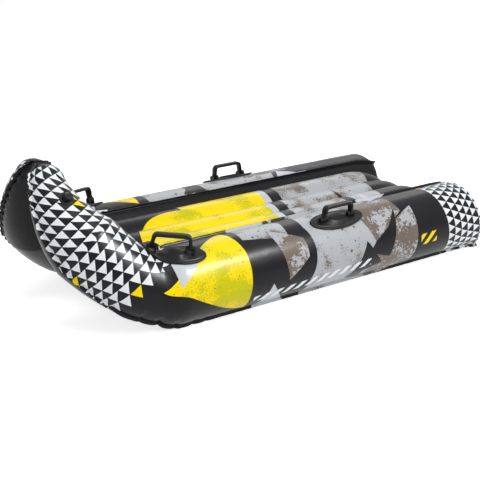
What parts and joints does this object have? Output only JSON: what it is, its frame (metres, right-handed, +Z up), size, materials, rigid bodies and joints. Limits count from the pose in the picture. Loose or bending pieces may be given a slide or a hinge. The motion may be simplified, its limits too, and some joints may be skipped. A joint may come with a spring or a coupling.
{
  "type": "snow tube",
  "caption": "Long inflatable snow sled with side tubes, an upswept nose, a channelled floor, fold-down grips and screw-cap air valves.",
  "frame": {"origin": "centre of the bounding box, on the ground", "axes": "+X to the rear and along the sled, +Y to the rider's right, +Z up; mirror plane Y = 0"},
  "size_m": [1.3761, 0.6262, 0.4183],
  "materials": {
    "printed_vinyl": "printed PVC sheet, satin gloss",
    "plain_black_vinyl": "plain black PVC sheet, satin gloss",
    "web_vinyl": "plain grey PVC sheet",
    "welded_black_plastic": "soft black PVC moulding",
    "moulded_black_plastic": "hard black plastic, satin",
    "pin_plastic": "hard black plastic",
    "valve_rubber": "soft grey rubber"
  },
  "bodies": {
    "sled": {"floor_bottom_panel": "plain_black_vinyl", "floor_left_web": "web_vinyl", "floor_right_web": "web_vinyl", "floor_top_panel": "printed_vinyl", "floor_valve_body": "moulded_black_plastic", "floor_valve_flange": "welded_black_plastic", "floor_valve_flap": "valve_rubber", "left_front_handle_base": "welded_black_plastic", "left_front_handle_front_pin": "pin_plastic", "left_front_handle_rear_pin": "pin_plastic", "left_rear_handle_base": "welded_black_plastic", "left_rear_handle_front_pin": "pin_plastic", "left_rear_handle_rear_pin": "pin_plastic", "left_tube_inner_panel": "plain_black_vinyl", "left_tube_printed_panel": "printed_vinyl", "left_tube_valve_body": "moulded_black_plastic", "left_tube_valve_flange": "welded_black_plastic", "left_tube_valve_flap": "valve_rubber", "right_front_handle_base": "welded_black_plastic", "right_front_handle_front_pin": "pin_plastic", "right_front_handle_rear_pin": "pin_plastic", "right_rear_handle_base": "welded_black_plastic", "right_rear_handle_front_pin": "pin_plastic", "right_rear_handle_rear_pin": "pin_plastic", "right_tube_inner_panel": "plain_black_vinyl", "right_tube_printed_panel": "printed_vinyl", "right_tube_valve_body": "moulded_black_plastic", "right_tube_valve_flange": "welded_black_plastic", "right_tube_valve_flap": "valve_rubber"},
    "left_rear_grip": {"left_rear_handle_grip": "moulded_black_plastic"},
    "left_front_grip": {"left_front_handle_grip": "moulded_black_plastic"},
    "right_rear_grip": {"right_rear_handle_grip": "moulded_black_plastic"},
    "right_front_grip": {"right_front_handle_grip": "moulded_black_plastic"},
    "left_tube_cap_seal": {"left_tube_valve_cap_seal": "valve_rubber"},
    "left_tube_cap": {"left_tube_valve_cap": "moulded_black_plastic"},
    "right_tube_cap_seal": {"right_tube_valve_cap_seal": "valve_rubber"},
    "right_tube_cap": {"right_tube_valve_cap": "moulded_black_plastic"},
    "floor_cap_seal": {"floor_valve_cap_seal": "valve_rubber"},
    "floor_cap": {"floor_valve_cap": "moulded_black_plastic"}
  },
  "joints": [
    {"name": "left_rear_grip_fold", "type": "hinge", "parent": "sled", "child": "left_rear_grip", "pos_m": [0.1295, -0.25834, 0.19885], "axis": [1, 0, 0], "range_deg": [-65, 105]},
    {"name": "left_front_grip_fold", "type": "hinge", "parent": "sled", "child": "left_front_grip", "pos_m": [-0.39124, -0.23409, 0.21158], "axis": [0.8565, -0.5026, -0.1173], "range_deg": [-85, 85]},
    {"name": "right_rear_grip_fold", "type": "hinge", "parent": "sled", "child": "right_rear_grip", "pos_m": [0.1295, 0.25834, 0.19885], "axis": [1, 0, 0], "range_deg": [-105, 65]},
    {"name": "right_front_grip_fold", "type": "hinge", "parent": "sled", "child": "right_front_grip", "pos_m": [-0.39124, 0.23409, 0.21158], "axis": [0.8565, 0.5026, -0.1173], "range_deg": [-85, 85]},
    {"name": "left_tube_cap_lift", "type": "slide", "parent": "sled", "child": "left_tube_cap_seal", "axis": [0.0436, -0.6613, 0.7488], "range_m": [0, 0.006]},
    {"name": "left_tube_cap_turn", "type": "hinge", "parent": "left_tube_cap_seal", "child": "left_tube_cap", "pos_m": [-0.613, -0.12475, 0.34837], "axis": [0.0436, -0.6613, 0.7488], "range_deg": [0, 540]},
    {"name": "right_tube_cap_lift", "type": "slide", "parent": "sled", "child": "right_tube_cap_seal", "axis": [0.0436, 0.6613, 0.7488], "range_m": [0, 0.006]},
    {"name": "right_tube_cap_turn", "type": "hinge", "parent": "right_tube_cap_seal", "child": "right_tube_cap", "pos_m": [-0.613, 0.12475, 0.34837], "axis": [0.0436, 0.6613, 0.7488], "range_deg": [0, 540]},
    {"name": "floor_cap_lift", "type": "slide", "parent": "sled", "child": "floor_cap_seal", "axis": [-0.121, 0, 0.9927], "range_m": [0, 0.006]},
    {"name": "floor_cap_turn", "type": "hinge", "parent": "floor_cap_seal", "child": "floor_cap", "pos_m": [-0.414, 0, 0.17163], "axis": [-0.121, 0, 0.9927], "range_deg": [0, 540]}
  ],
  "couplings": [
    {"joint": "left_tube_cap_lift", "follows": "left_tube_cap_turn", "m_per_rad": 0.0006366},
    {"joint": "right_tube_cap_lift", "follows": "right_tube_cap_turn", "m_per_rad": 0.0006366},
    {"joint": "floor_cap_lift", "follows": "floor_cap_turn", "m_per_rad": 0.0006366}
  ]
}
